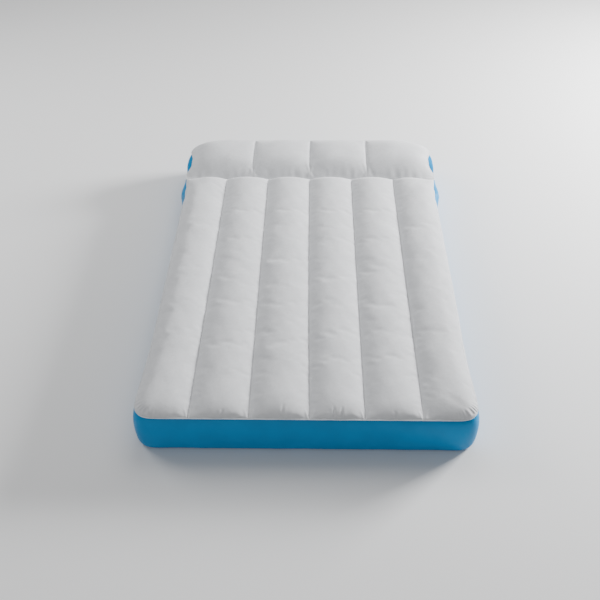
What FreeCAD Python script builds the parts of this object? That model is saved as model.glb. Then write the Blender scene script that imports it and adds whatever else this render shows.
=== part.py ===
"""Double camping air mattress with a built-in pillow.

Six air channels run along a flocked top, a pillow of four chambers crosses the head end, and a
blue vinyl band closes the side. Webs inside hold the channels flat, and the head wall carries a
screw-in inflation valve with a flip cap and a non-return flap.

Frame: origin on the floor under the middle of the footprint, +Z up, +Y to the head, +X across.
Lengths are millimetres. The films are drawn thicker than the 0.4 mm vinyl they stand for.
"""
import FreeCAD
import Part
import Sketcher

import math
import os
import re

V = FreeCAD.Vector
DOC = FreeCAD.newDocument("air_mattress")

# ---------------------------------------------------------------- driving dimensions

SIZES = [
    # the whole mattress
    ("overall_width", 1270),
    ("overall_length", 1930),
    ("pillow_crest", 240),
    ("pillow_depth", 356),
    ("channel_crown", 185),
    ("channel_rise", 19),
    ("pillow_rise", 20),
    ("crest_to_head", 95),
    ("dome_radius", 700),
    ("corner_radius", 62),
    ("shoulder_radius", 34),
    # films and welds
    ("film", 2.4),
    ("fold_gap", 0.3),
    ("seam_thick", 3),
    ("seam_inside", 8),
    ("seam_lip", 4),
    ("seam_height", 160),
    ("wall_bulge", 16),
    ("pillow_seam_height", 200),
    ("pillow_bulge", 10),
    ("beam_end_gap", 110),
    ("pillow_beam_end_gap", 58),
    ("air_port_radius", 20),
    ("floor_clearance", 1.7),
    # valve, measured from its axis and from the outside of the head wall
    ("valve_offset", 400),
    ("neck_bore_radius", 24),
    ("neck_wall", 3),
    ("neck_depth", 22),
    ("lip_width", 4),
    ("lip_stand_off", 0.5),
    ("lip_thick", 2.5),
    ("flange_radius", 42),
    ("flange_thick", 1.8),
    ("thread_clearance", 0.08),
    ("collar_depth", 12),
    ("collar_bore_radius", 17),
    ("collar_head_radius", 30),
    ("collar_head_thick", 4),
    ("grip_notch_radius", 1.7),
    ("seal_space", 1.6),
    ("seal_thick", 1.4),
    ("seal_width", 4.6),
    ("spider_arm_width", 1.8),
    ("spider_depth", 3),
    ("spider_hub_radius", 3.5),
    ("spider_root", 0.4),
    # flap and its keeper
    ("flap_radius", 18.6),
    ("flap_thick", 1),
    ("flap_seat_gap", 0.1),
    ("flap_hinge_rise", 20.6),
    ("bead_radius", 1.2),
    ("bead_half_length", 7),
    ("bead_clearance", 0.1),
    ("flap_tab_half_width", 3),
    ("keeper_below_bead", 1.7),
    ("keeper_above_bead", 1.6),
    ("keeper_half_width", 7.4),
    ("keeper_slot_half_width", 3.5),
    ("keeper_back", 1),
    # cap and its snap hinge
    ("cap_radius", 28.6),
    ("cap_thick", 2.6),
    ("cap_gap", 0.3),
    ("plug_clearance", 0.4),
    ("plug_wall", 2),
    ("plug_depth", 3.8),
    ("plug_taper", 0.4),
    ("cap_edge", 0.8),
    ("cap_hinge_rise", 33.4),
    ("barrel_radius", 1.5),
    ("barrel_clearance", 0.06),
    ("barrel_half_length", 9),
    ("tongue_half_width", 4.6),
    ("ear_gap", 0.4),
    ("ear_width", 4.2),
    ("ear_radius", 2.8),
    ("pull_tab_length", 6),
    ("pull_tab_half_width", 6),
    ("pull_tab_thick", 1.6),
]
CHANNELS = 6
PILLOW_CHAMBERS = 4
GRIP_NOTCHES = 24
SPIDER_ARMS = 3

SHEET = DOC.addObject("Spreadsheet::Sheet", "sizes")
for row, (alias, number) in enumerate(SIZES, start=1):
    SHEET.set(f"A{row}", alias)
    SHEET.set(f"B{row}", str(number))
    SHEET.setAlias(f"B{row}", alias)
DOC.recompute()

# ---------------------------------------------------------------- formulas shared by the pieces

SEAM_HALF_WIDTH = "(overall_width / 2 - wall_bulge)"
SEAM_HALF_LENGTH = "(overall_length / 2 - wall_bulge)"
SEAM_TOP = "(seam_height + seam_thick)"
PILLOW_SEAM_TOP = "(pillow_seam_height + seam_thick)"
JUNCTION = "(overall_length / 2 - pillow_depth)"
CREST = "(overall_length / 2 - crest_to_head)"
DOME_AXIS = "(pillow_crest - dome_radius)"
CHANNEL_PITCH = f"(2 * {SEAM_HALF_WIDTH} / {CHANNELS})"
CHAMBER_PITCH = f"(2 * {SEAM_HALF_WIDTH} / {PILLOW_CHAMBERS})"
SIDE_ROOM = 20          # how far cutting solids run past what they cut
SHELF = 2               # top sheets end this far outside the seam line, on the weld flange
VALVE_RISE = f"(({SEAM_TOP}) / 2)"
FACE = "(overall_length / 2)"


def with_sheet(formula):
    """Put the sheet's name before every alias in a formula."""
    return re.sub(r"\b([a-z]\w*)\b(?!\()", r"sizes.\1", str(formula))


def bind(thing, prop, formula):
    thing.setExpression(prop, with_sheet(formula))


def arc_radius(half_chord, rise):
    """Radius of an arc that rises by `rise` over a chord."""
    return f"((({half_chord})^2 + ({rise})^2) / (2 * ({rise})))"


# ---------------------------------------------------------------- sketch helpers

def body(label):
    piece = DOC.addObject("PartDesign::Body", label)
    piece.Label = label
    return piece


def sketch_on(piece, name, role, across="0", along="0", off="0"):
    """A sketch on one of the body's own planes, moved by (across, along, off) in that plane's axes."""
    sketch = piece.newObject("Sketcher::SketchObject", f"{piece.Name}_{name}")
    plane = next(f for f in piece.Origin.OriginFeatures if f.Role == role)
    sketch.AttachmentSupport = [(plane, "")]
    sketch.MapMode = "FlatFace"
    bind(sketch, ".AttachmentOffset.Base.x", across)
    bind(sketch, ".AttachmentOffset.Base.y", along)
    bind(sketch, ".AttachmentOffset.Base.z", off)
    return sketch


def hold(sketch, kind, *where, formula):
    """Add a sized constraint and bind it to a formula."""
    index = sketch.addConstraint(Sketcher.Constraint(kind, *where, evaluate(formula)))
    bind(sketch, f"Constraints[{index}]", formula)


def evaluate(formula):
    """The value that a formula has now, used to draw each sketch close to its solution."""
    return SHEET.evalExpression(with_sheet(formula))


def polygon(sketch, corners):
    """A closed outline of straight lines whose corners are pairs of formulas."""
    points = [V(evaluate(a), evaluate(b), 0) for a, b in corners]
    count = len(points)
    lines = [
        sketch.addGeometry(Part.LineSegment(points[i], points[(i + 1) % count])) for i in range(count)
    ]
    for i, (a, b) in enumerate(corners):
        sketch.addConstraint(Sketcher.Constraint("Coincident", lines[i - 1], 2, lines[i], 1))
        hold(sketch, "DistanceX", -1, 1, lines[i], 1, formula=a)
        hold(sketch, "DistanceY", -1, 1, lines[i], 1, formula=b)


def circle(sketch, radius, across="0", along="0"):
    ring = sketch.addGeometry(
        Part.Circle(V(evaluate(across), evaluate(along), 0), V(0, 0, 1), evaluate(radius))
    )
    hold(sketch, "Radius", ring, formula=radius)
    hold(sketch, "DistanceX", -1, 1, ring, 3, formula=across)
    hold(sketch, "DistanceY", -1, 1, ring, 3, formula=along)


def rounded_rectangle(sketch, half_width, low, high, radius):
    """A rectangle with four equal round corners, even about the sketch's own Y axis."""
    x, y0, y1, r = (evaluate(f) for f in (half_width, low, high, radius))
    centres = [(x - r, y1 - r), (r - x, y1 - r), (r - x, y0 + r), (x - r, y0 + r)]
    arcs = []
    for k, (cx, cy) in enumerate(centres):
        start = k * math.pi / 2
        round_ = Part.Circle(V(cx, cy, 0), V(0, 0, 1), r)
        arcs.append(sketch.addGeometry(Part.ArcOfCircle(round_, start, start + math.pi / 2)))
    ends = [(V(x, y1 - r, 0), V(x - r, y1, 0)), (V(r - x, y1, 0), V(-x, y1 - r, 0)),
            (V(-x, y0 + r, 0), V(r - x, y0, 0)), (V(x - r, y0, 0), V(x, y0 + r, 0))]
    sides = []
    for k in range(4):
        sides.append(sketch.addGeometry(Part.LineSegment(ends[k][1], ends[(k + 1) % 4][0])))
        sketch.addConstraint(Sketcher.Constraint("Tangent", arcs[k], 2, sides[k], 1))
    for k in range(4):
        sketch.addConstraint(Sketcher.Constraint("Tangent", sides[k], 2, arcs[(k + 1) % 4], 1))
    top, left, bottom, right = sides
    for side in (top, bottom):
        sketch.addConstraint(Sketcher.Constraint("Horizontal", side))
    for side in (left, right):
        sketch.addConstraint(Sketcher.Constraint("Vertical", side))
    for arc in arcs[1:]:
        sketch.addConstraint(Sketcher.Constraint("Equal", arcs[0], arc))
    hold(sketch, "Radius", arcs[0], formula=radius)
    hold(sketch, "DistanceX", -1, 1, right, 1, formula=half_width)
    hold(sketch, "DistanceX", -1, 1, left, 1, formula=f"-{half_width}")
    hold(sketch, "DistanceY", -1, 1, top, 1, formula=high)
    hold(sketch, "DistanceY", -1, 1, bottom, 1, formula=low)


def scallops(sketch, count, pitch, crown, radius, half_width, base):
    """A closed section whose top is a row of equal arcs that meet in valleys."""
    crown_now, r, x_end, z_base = (evaluate(f) for f in (crown, radius, half_width, base))
    step = evaluate(pitch)
    centres = [(i - (count - 1) / 2) * step for i in range(count)]
    edges = [-x_end] + [(a + b) / 2 for a, b in zip(centres, centres[1:])] + [x_end]
    arcs = []
    for i in reversed(range(count)):
        start = math.acos((edges[i + 1] - centres[i]) / r)
        stop = math.acos((edges[i] - centres[i]) / r)
        round_ = Part.Circle(V(centres[i], crown_now - r, 0), V(0, 0, 1), r)
        arc = sketch.addGeometry(Part.ArcOfCircle(round_, start, stop))
        hold(sketch, "DistanceX", -1, 1, arc, 3, formula=f"{i - (count - 1) / 2} * {pitch}")
        hold(sketch, "DistanceY", -1, 1, arc, 3, formula=f"{crown} - {radius}")
        hold(sketch, "Radius", arc, formula=radius)
        if arcs:
            sketch.addConstraint(Sketcher.Constraint("Coincident", arcs[-1], 2, arc, 1))
        arcs.append(arc)
    z_left = sketch.getPoint(arcs[-1], 2).y
    z_right = sketch.getPoint(arcs[0], 1).y
    corners = [V(-x_end, z_left, 0), V(-x_end, z_base, 0), V(x_end, z_base, 0), V(x_end, z_right, 0)]
    left, floor, right = (
        sketch.addGeometry(Part.LineSegment(a, b)) for a, b in zip(corners, corners[1:])
    )
    for first, second in ((arcs[-1], left), (left, floor), (floor, right), (right, arcs[0])):
        sketch.addConstraint(Sketcher.Constraint("Coincident", first, 2, second, 1))
    sketch.addConstraint(Sketcher.Constraint("Vertical", left))
    sketch.addConstraint(Sketcher.Constraint("Vertical", right))
    sketch.addConstraint(Sketcher.Constraint("Horizontal", floor))
    hold(sketch, "DistanceX", -1, 1, left, 1, formula=f"-{half_width}")
    hold(sketch, "DistanceX", -1, 1, right, 1, formula=half_width)
    hold(sketch, "DistanceY", -1, 1, floor, 1, formula=base)


def bulged_band(sketch, seam_line, low, high, bulge):
    """The section of a side band: an arc that bulges out from its two seams, one film thick."""
    r_formula = arc_radius(f"({high} - {low}) / 2", bulge)
    middle_formula = f"({high} + {low}) / 2"
    x, z0, z1, r, film = (evaluate(f) for f in (seam_line, low, high, r_formula, "film"))
    centre_formula = f"{seam_line} + {bulge} - {r_formula}"
    centre = V(evaluate(centre_formula), (z0 + z1) / 2, 0)
    arcs = []
    for radius in (r, r - film):
        half = math.asin((z1 - z0) / 2 / radius)
        arcs.append(sketch.addGeometry(Part.ArcOfCircle(Part.Circle(centre, V(0, 0, 1), radius), -half, half)))
    outer, inner = arcs
    for arc, formula in ((outer, r_formula), (inner, f"{r_formula} - film")):
        hold(sketch, "DistanceX", -1, 1, arc, 3, formula=centre_formula)
        hold(sketch, "DistanceY", -1, 1, arc, 3, formula=middle_formula)
        hold(sketch, "Radius", arc, formula=formula)
        hold(sketch, "DistanceY", -1, 1, arc, 1, formula=low)
        hold(sketch, "DistanceY", -1, 1, arc, 2, formula=high)
    for end in (1, 2):
        edge = sketch.addGeometry(Part.LineSegment(sketch.getPoint(outer, end), sketch.getPoint(inner, end)))
        sketch.addConstraint(Sketcher.Constraint("Coincident", edge, 1, outer, end))
        sketch.addConstraint(Sketcher.Constraint("Coincident", edge, 2, inner, end))


# ---------------------------------------------------------------- feature helpers

def pad(piece, sketch, length, middle=False, backwards=False):
    feature = piece.newObject("PartDesign::Pad", f"{sketch.Name}_pad")
    feature.Profile = sketch
    bind(feature, "Length", length)
    feature.Midplane = middle
    feature.Reversed = backwards
    return feature


def pocket(piece, sketch, length, middle=False, backwards=False):
    """Cut a pocket and make sure that it took something away."""
    DOC.recompute()
    before = piece.Shape.Volume
    feature = piece.newObject("PartDesign::Pocket", f"{sketch.Name}_pocket")
    feature.Profile = sketch
    bind(feature, "Length", length)
    feature.Midplane = middle
    feature.Reversed = backwards
    DOC.recompute()
    if not piece.Shape.Volume < before - 0.01:
        raise ValueError(f"{feature.Name} cuts nothing")
    return feature


def turned(piece, name, corners):
    """A ring or disc round the valve axis: corners are (radius, distance out from the wall's face)."""
    sketch = sketch_on(piece, name, "XY_Plane", "valve_offset", FACE, VALVE_RISE)
    polygon(sketch, corners)
    feature = piece.newObject("PartDesign::Revolution", f"{sketch.Name}_turn")
    feature.Profile = sketch
    feature.ReferenceAxis = (sketch, ["V_Axis"])
    feature.Angle = 360
    return feature


def edges_where(shape, keep):
    return [f"Edge{i}" for i, edge in enumerate(shape.Edges, start=1) if keep(edge)]


def fillet(piece, base, names, radius):
    feature = piece.newObject("PartDesign::Fillet", f"{base.Name}_fillet")
    feature.Base = (base, names)
    bind(feature, "Radius", radius)
    DOC.recompute()
    return feature


def cross_cylinder(piece, kind, name, radius, half_length, out, rise):
    """A cylinder along X on the valve: `out` from the wall's face and `rise` above the valve's axis."""
    rod = piece.newObject(f"PartDesign::{kind}Cylinder", f"{piece.Name}_{name}")
    bind(rod, "Radius", radius)
    bind(rod, "Height", f"2 * {half_length}")
    rod.Placement = FreeCAD.Placement(V(0, 0, 0), FreeCAD.Rotation(V(0, 1, 0), 90))
    bind(rod, ".Placement.Base.x", f"valve_offset - {half_length}")
    bind(rod, ".Placement.Base.y", f"{FACE} + {out}")
    bind(rod, ".Placement.Base.z", f"{VALVE_RISE} + {rise}")
    return rod


def valve_box(piece, kind, name, left, right, inner, outer, low, high):
    """A box on the valve, between distances from its axis (x, z) and from the wall's face (y)."""
    block = piece.newObject(f"PartDesign::{kind}Box", f"{piece.Name}_{name}")
    bind(block, "Length", f"({right}) - ({left})")
    bind(block, "Width", f"({outer}) - ({inner})")
    bind(block, "Height", f"({high}) - ({low})")
    bind(block, ".Placement.Base.x", f"valve_offset + ({left})")
    bind(block, ".Placement.Base.y", f"{FACE} + ({inner})")
    bind(block, ".Placement.Base.z", f"{VALVE_RISE} + ({low})")
    return block


def plain_box(name, x0, x1, y0, y1, z0, z1):
    """A box between six formulas, used for webs and as a cutter."""
    block = DOC.addObject("Part::Box", name)
    for prop, low, high in (("Length", x0, x1), ("Width", y0, y1), ("Height", z0, z1)):
        bind(block, prop, f"({high}) - ({low})")
    for axis, low in zip("xyz", (x0, y0, z0)):
        bind(block, f".Placement.Base.{axis}", low)
    return block


def boolean(kind, name, base, tool):
    feature = DOC.addObject(f"Part::{kind}", name)
    feature.Base = base
    feature.Tool = tool
    feature.Label = name
    return feature


# ---------------------------------------------------------------- sheets, bands and seams

def flat_sheet(label, half_width, low, high, base, thick):
    piece = body(label)
    sketch = sketch_on(piece, "outline", "XY_Plane", off=base)
    rounded_rectangle(sketch, half_width, low, high, "corner_radius")
    pad(piece, sketch, thick)
    return piece


def seam_ring(label, base, thick, lip):
    """A weld flange that follows the rounded outline of the mattress."""
    piece = body(label)
    sketch = sketch_on(piece, "outline", "XY_Plane", off=base)
    for step in (lip, "-seam_inside"):
        rounded_rectangle(
            sketch,
            f"({SEAM_HALF_WIDTH} + {step})",
            f"-({SEAM_HALF_LENGTH} + {step})",
            f"({SEAM_HALF_LENGTH} + {step})",
            f"(corner_radius + {step})",
        )
    pad(piece, sketch, thick)
    return piece


def side_wall():
    """The blue band from the bottom seam to the top seam, with the hole for the valve's neck."""
    piece = body("side_wall")
    path = sketch_on(piece, "path", "XY_Plane")
    rounded_rectangle(
        path, SEAM_HALF_WIDTH, f"-{SEAM_HALF_LENGTH}", SEAM_HALF_LENGTH, "corner_radius"
    )
    section = sketch_on(piece, "section", "XZ_Plane")
    bulged_band(section, SEAM_HALF_WIDTH, "seam_thick", "seam_height", "wall_bulge")
    DOC.recompute()
    sweep = piece.newObject("PartDesign::AdditivePipe", "side_wall_sweep")
    sweep.Profile = section
    sweep.Spine = (path, [])
    hole = sketch_on(piece, "valve_hole", "XZ_Plane", "valve_offset", VALVE_RISE, f"-{FACE}")
    circle(hole, "neck_bore_radius + neck_wall + fold_gap")
    pocket(piece, hole, "wall_bulge * 2", middle=True)
    return piece


def envelope(name, front, back, base, top, inset, round_front):
    """A block with rounded corners and shoulders that bounds a top sheet from outside."""
    piece = body(name)
    width = f"({SEAM_HALF_WIDTH} + {SHELF} - {inset})"
    sketch = sketch_on(piece, "outline", "XY_Plane", off=base)
    polygon(sketch, [(f"-{width}", front), (width, front), (width, back), (f"-{width}", back)])
    block = pad(piece, sketch, f"({top}) - ({base}) - ({inset})")
    DOC.recompute()
    middle = (evaluate(front) + evaluate(back)) / 2

    def at_rounded_end(edge):
        y = edge.CenterOfMass.y
        return y < middle if round_front else y > middle

    def is_corner(edge):
        upright = abs(edge.Vertexes[0].X - edge.Vertexes[-1].X) < 1 and abs(
            edge.Vertexes[0].Y - edge.Vertexes[-1].Y) < 1
        return upright and at_rounded_end(edge)

    corners = fillet(piece, block, edges_where(block.Shape, is_corner), f"corner_radius + {SHELF} - {inset}")
    top_now = corners.Shape.BoundBox.ZMax

    def is_shoulder(edge):
        box = edge.BoundBox
        on_top = box.ZMin > top_now - 1
        square_end = box.YLength < 1 and not at_rounded_end(edge)
        return on_top and not square_end

    fillet(piece, corners, edges_where(corners.Shape, is_shoulder), f"shoulder_radius - {inset}")
    return piece


def channel_block(name, inset, base):
    """A solid from `base` up, whose top is the six long channels lowered by `inset`."""
    piece = body(name)
    sketch = sketch_on(piece, "section", "XZ_Plane")
    scallops(
        sketch, CHANNELS, CHANNEL_PITCH, f"(channel_crown - {inset})",
        f"({arc_radius(f'{CHANNEL_PITCH} / 2', 'channel_rise')} - {inset})",
        f"(overall_width / 2 + {SIDE_ROOM})", base,
    )
    pad(piece, sketch, f"overall_length + 2 * {SIDE_ROOM}", middle=True)
    return piece


def pillow_block(name, inset):
    """A solid whose top is the four pillow chambers, arched from the junction to the head."""
    piece = body(name)
    sketch = sketch_on(piece, "section", "XZ_Plane", along=DOME_AXIS, off=f"-{CREST}")
    scallops(
        sketch, PILLOW_CHAMBERS, CHAMBER_PITCH, f"(dome_radius - {inset})",
        f"({arc_radius(f'{CHAMBER_PITCH} / 2', 'pillow_rise')} - {inset})",
        f"(overall_width / 2 + {SIDE_ROOM})", "(dome_radius / 3)",
    )
    arch = piece.newObject("PartDesign::Revolution", f"{name}_arch")
    arch.Profile = sketch
    arch.ReferenceAxis = (sketch, ["H_Axis"])
    arch.Angle = 90
    arch.Midplane = True
    return piece


def top_sheet():
    """The flocked sheet over the six channels, from the foot to the pillow."""
    span = (f"-({SEAM_HALF_LENGTH} + {SHELF})", f"({JUNCTION} - fold_gap)")
    below = f"({SEAM_TOP} - {SIDE_ROOM})"
    top = "(channel_crown + 5)"
    outside = boolean("Common", "top_outside", channel_block("top_channels", "0", SEAM_TOP),
                      envelope("top_bounds", *span, below, top, "0", True))
    inner_span = (f"{span[0]} + film", f"{span[1]} - film")
    inside = boolean("Common", "top_inside", channel_block("top_channels_inner", "film", below),
                     envelope("top_bounds_inner", *inner_span, below, top, "film", True))
    return boolean("Cut", "top_sheet", outside, inside)


def pillow_pieces():
    """The pillow's flocked sheet, its blue side band, its floor, its webs and its seams."""
    front = f"({JUNCTION} + fold_gap)"
    back = f"({SEAM_HALF_LENGTH} + {SHELF})"
    top = "(pillow_crest + 6)"
    below = f"({SEAM_TOP} - {SIDE_ROOM})"
    behind_front = f"({front} + film)"
    wide = f"(overall_width / 2 + {SIDE_ROOM})"

    outside = boolean("Common", "pillow_outside", pillow_block("pillow_chambers", "0"),
                      envelope("pillow_bounds", front, back, SEAM_TOP, top, "0", False))
    inner = envelope("pillow_bounds_inner", behind_front, f"({back} - film)", below, top, "film", False)
    band_room = plain_box("pillow_band_room", f"-{wide}", wide, behind_front, f"{back} + {SIDE_ROOM}",
                          below, PILLOW_SEAM_TOP)
    hollow = boolean("Fuse", "pillow_hollow", inner, band_room)
    inside = boolean("Common", "pillow_inside", pillow_block("pillow_chambers_inner", "film"), hollow)
    sheet = boolean("Cut", "pillow_sheet", outside, inside)

    band = body("pillow_band")
    path = sketch_on(band, "path", "XY_Plane")
    rounded_rectangle(path, SEAM_HALF_WIDTH, f"-{SEAM_HALF_LENGTH}", SEAM_HALF_LENGTH, "corner_radius")
    section = sketch_on(band, "section", "XZ_Plane")
    bulged_band(section, SEAM_HALF_WIDTH, SEAM_TOP, "pillow_seam_height", "pillow_bulge")
    DOC.recompute()
    sweep = band.newObject("PartDesign::AdditivePipe", "pillow_band_sweep")
    sweep.Profile = section
    sweep.Spine = (path, [])
    head_end = plain_box("pillow_head_end", f"-{wide}", wide, f"{behind_front} + fold_gap",
                         f"{back} + {SIDE_ROOM}", below, top)
    under = boolean("Common", "pillow_under", pillow_block("pillow_chambers_under", "(film + fold_gap)"),
                    head_end)
    wall = boolean("Common", "pillow_wall", band, under)

    ring = seam_ring("pillow_seam_ring", "pillow_seam_height", "seam_thick", "seam_lip")
    seam = boolean("Common", "pillow_seam", ring, under)

    floor = body("pillow_floor")
    outline = sketch_on(floor, "outline", "XY_Plane", off=SEAM_TOP)
    inset = "corner_radius"
    half = f"({SEAM_HALF_WIDTH} - 2 * film - floor_clearance)"
    start = f"({behind_front} + fold_gap)"
    stop = f"({SEAM_HALF_LENGTH} - 2 * film - floor_clearance)"
    polygon(outline, [
        (f"-{half}", start), (half, start), (half, f"{stop} - {inset}"), (f"{half} - {inset}", stop),
        (f"{inset} - {half}", stop), (f"-{half}", f"{stop} - {inset}"),
    ])
    pad(floor, outline, "film")
    ports = sketch_on(floor, "air_ports", "XY_Plane", off=SEAM_TOP)
    for i in range(PILLOW_CHAMBERS):
        circle(ports, "air_port_radius", f"{i - (PILLOW_CHAMBERS - 1) / 2} * {CHAMBER_PITCH}",
               f"({start} + {stop}) / 2")
    pocket(floor, ports, "4 * film", middle=True)

    webs = []
    for i in range(1, PILLOW_CHAMBERS):
        x = f"{i - PILLOW_CHAMBERS / 2} * {CHAMBER_PITCH}"
        blank = plain_box(f"pillow_beam_blank_{i}", f"{x} - film / 2", f"{x} + film / 2",
                          f"{JUNCTION} + pillow_beam_end_gap", f"{SEAM_HALF_LENGTH} - pillow_beam_end_gap",
                          f"{SEAM_TOP} + film", top)
        webs.append(boolean("Common", f"pillow_beam_{i}", blank, under))

    strip = body("pillow_front_seam")
    lines = sketch_on(strip, "outline", "XY_Plane", off="seam_height")
    reach = f"({SEAM_HALF_WIDTH} - seam_inside - fold_gap)"
    y0, y1 = f"({JUNCTION} - seam_inside)", f"({JUNCTION} + seam_inside)"
    polygon(lines, [(f"-{reach}", y0), (reach, y0), (reach, y1), (f"-{reach}", y1)])
    pad(strip, lines, "seam_thick")
    return [sheet, wall, seam, floor, *webs, strip]


def main_beams():
    """Upright webs under the valleys, notched where the cross seam passes over them."""
    pieces = []
    for i in range(1, CHANNELS):
        x = f"{i - CHANNELS / 2} * {CHANNEL_PITCH}"
        blank = plain_box(f"beam_blank_{i}", f"{x} - film / 2", f"{x} + film / 2",
                          f"beam_end_gap - {SEAM_HALF_LENGTH}", f"{SEAM_HALF_LENGTH} - beam_end_gap",
                          "film", f"{SEAM_TOP} - fold_gap")
        notch = plain_box(f"beam_notch_{i}", f"{x} - film", f"{x} + film",
                          f"{JUNCTION} - seam_inside - fold_gap", f"{JUNCTION} + seam_inside + fold_gap",
                          "seam_height - fold_gap", f"{SEAM_TOP} + film")
        pieces.append(boolean("Cut", f"beam_{i}", blank, notch))
    return pieces


# ---------------------------------------------------------------- inflation valve

HEAD_UNDERSIDE = "(lip_stand_off + lip_thick + seal_space)"
HEAD_TOP = f"({HEAD_UNDERSIDE} + collar_head_thick)"
CAP_BASE = f"({HEAD_TOP} + cap_gap)"
CAP_TOP = f"({CAP_BASE} + cap_thick)"
BARREL_OUT = f"({CAP_BASE} + cap_thick / 2)"
NECK_RADIUS = "(neck_bore_radius + neck_wall)"
FLAP_TOP = "(-collar_depth - flap_seat_gap)"
FLAP_MIDDLE = f"({FLAP_TOP} - flap_thick / 2)"


def valve_base():
    """The welded part: a flange curved like the wall, and the neck that the collar screws into."""
    wall_radius = arc_radius("(seam_height - seam_thick) / 2", "wall_bulge")
    shells = []
    for name, depth in (("outer", "film + fold_gap"), ("inner", "film + fold_gap + flange_thick")):
        rod = DOC.addObject("Part::Cylinder", f"flange_{name}")
        bind(rod, "Radius", f"{wall_radius} - ({depth})")
        bind(rod, "Height", "4 * flange_radius")
        rod.Placement = FreeCAD.Placement(V(0, 0, 0), FreeCAD.Rotation(V(0, 1, 0), 90))
        bind(rod, ".Placement.Base.x", "valve_offset - 2 * flange_radius")
        bind(rod, ".Placement.Base.y", f"{FACE} - {wall_radius}")
        bind(rod, ".Placement.Base.z", VALVE_RISE)
        shells.append(rod)
    curved = boolean("Cut", "flange_curve", *shells)
    disc = body("flange_disc")
    turned(disc, "outline", [("neck_bore_radius + neck_wall / 2", "-neck_depth"),
                             ("flange_radius", "-neck_depth"),
                             ("flange_radius", "0"),
                             ("neck_bore_radius + neck_wall / 2", "0")])
    flange = boolean("Common", "flange", curved, disc)
    neck = body("neck")
    lip_inside = "lip_stand_off"
    lip_outside = "lip_stand_off + lip_thick"
    turned(neck, "outline", [
        ("neck_bore_radius", "-neck_depth"), (NECK_RADIUS, "-neck_depth"),
        (NECK_RADIUS, lip_inside), (f"{NECK_RADIUS} + lip_width", lip_inside),
        (f"{NECK_RADIUS} + lip_width", lip_outside), ("neck_bore_radius", lip_outside),
    ])
    return boolean("Fuse", "valve_base", flange, neck)


def valve_seal():
    piece = body("valve_seal")
    inner = "(neck_bore_radius + fold_gap)"
    low = f"({HEAD_UNDERSIDE} - seal_thick)"
    turned(piece, "section", [(inner, low), (f"{inner} + seal_width", low),
                              (f"{inner} + seal_width", HEAD_UNDERSIDE), (inner, HEAD_UNDERSIDE)])
    return piece


def valve_collar():
    """The screw-in collar: gripped head, threaded skirt, spider across its port and cap hinge ears."""
    piece = body("valve_collar")
    skirt = "(neck_bore_radius - thread_clearance)"
    turned(piece, "outline", [
        ("collar_bore_radius", "-collar_depth"), (skirt, "-collar_depth"),
        (skirt, HEAD_UNDERSIDE), ("collar_head_radius", HEAD_UNDERSIDE),
        ("collar_head_radius", HEAD_TOP), ("collar_bore_radius", HEAD_TOP),
    ])
    notch = sketch_on(piece, "grip", "XZ_Plane", "valve_offset", VALVE_RISE, f"-({FACE} + {HEAD_TOP})")
    circle(notch, "grip_notch_radius", along="-(collar_head_radius + grip_notch_radius / 3)")
    cut = pocket(piece, notch, "2 * collar_head_thick", middle=True)
    ring = piece.newObject("PartDesign::PolarPattern", "grip_notches")
    ring.Originals = [cut]
    ring.Axis = (notch, ["N_Axis"])
    ring.Angle = 360
    ring.Occurrences = GRIP_NOTCHES
    piece.Tip = ring
    DOC.recompute()

    arm = sketch_on(piece, "spider_arm", "XZ_Plane", "valve_offset", VALVE_RISE,
                    f"-({FACE} - collar_depth)")
    half = "spider_arm_width / 2"
    polygon(arm, [(f"-{half}", "0"), (half, "0"), (half, "collar_bore_radius + spider_root"),
                  (f"-{half}", "collar_bore_radius + spider_root")])
    bar = pad(piece, arm, "spider_depth", backwards=True)
    arms = piece.newObject("PartDesign::PolarPattern", "spider_arms")
    arms.Originals = [bar]
    arms.Axis = (arm, ["N_Axis"])
    arms.Angle = 360
    arms.Occurrences = SPIDER_ARMS
    piece.Tip = arms
    hub = sketch_on(piece, "spider_hub", "XZ_Plane", "valve_offset", VALVE_RISE,
                    f"-({FACE} - collar_depth)")
    circle(hub, "spider_hub_radius")
    pad(piece, hub, "spider_depth", backwards=True)

    ear_low = "(collar_head_radius - 2)"
    ear_high = "(cap_hinge_rise + ear_radius)"
    inner_x = "(tongue_half_width + ear_gap)"
    outer_x = f"({inner_x} + ear_width)"
    for name, left, right in (("ear_left", f"-{outer_x}", f"-{inner_x}"), ("ear_right", inner_x, outer_x)):
        valve_box(piece, "Additive", f"{name}_foot", left, right, HEAD_UNDERSIDE, HEAD_TOP, ear_low, ear_high)
        valve_box(piece, "Additive", name, left, right, HEAD_TOP, f"{BARREL_OUT} + ear_radius",
                  "(cap_hinge_rise - ear_radius)", ear_high)
    valve_box(piece, "Additive", "hinge_shelf", f"-{outer_x}", outer_x, HEAD_UNDERSIDE,
              f"{HEAD_TOP} - 1", ear_low, ear_high)
    socket = "(barrel_radius + barrel_clearance)"
    cross_cylinder(piece, "Subtractive", "socket", socket, f"({outer_x} + 1)", BARREL_OUT, "cap_hinge_rise")
    groove = "(bead_radius + bead_clearance)"
    cross_cylinder(piece, "Subtractive", "bead_groove", groove, "(bead_half_length + bead_clearance)",
                   FLAP_MIDDLE, "flap_hinge_rise")
    return piece


def valve_flap():
    """The non-return disc with the bead that it swings on."""
    piece = body("valve_flap")
    disc = sketch_on(piece, "disc", "XZ_Plane", "valve_offset", VALVE_RISE, f"-({FACE} + {FLAP_TOP})")
    circle(disc, "flap_radius")
    pad(piece, disc, "flap_thick")
    valve_box(piece, "Additive", "tab", "-flap_tab_half_width", "flap_tab_half_width",
              f"{FLAP_TOP} - flap_thick", FLAP_TOP, "flap_radius - 2", "flap_hinge_rise")
    cross_cylinder(piece, "Additive", "bead", "bead_radius", "bead_half_length", FLAP_MIDDLE,
                   "flap_hinge_rise")
    return piece


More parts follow.
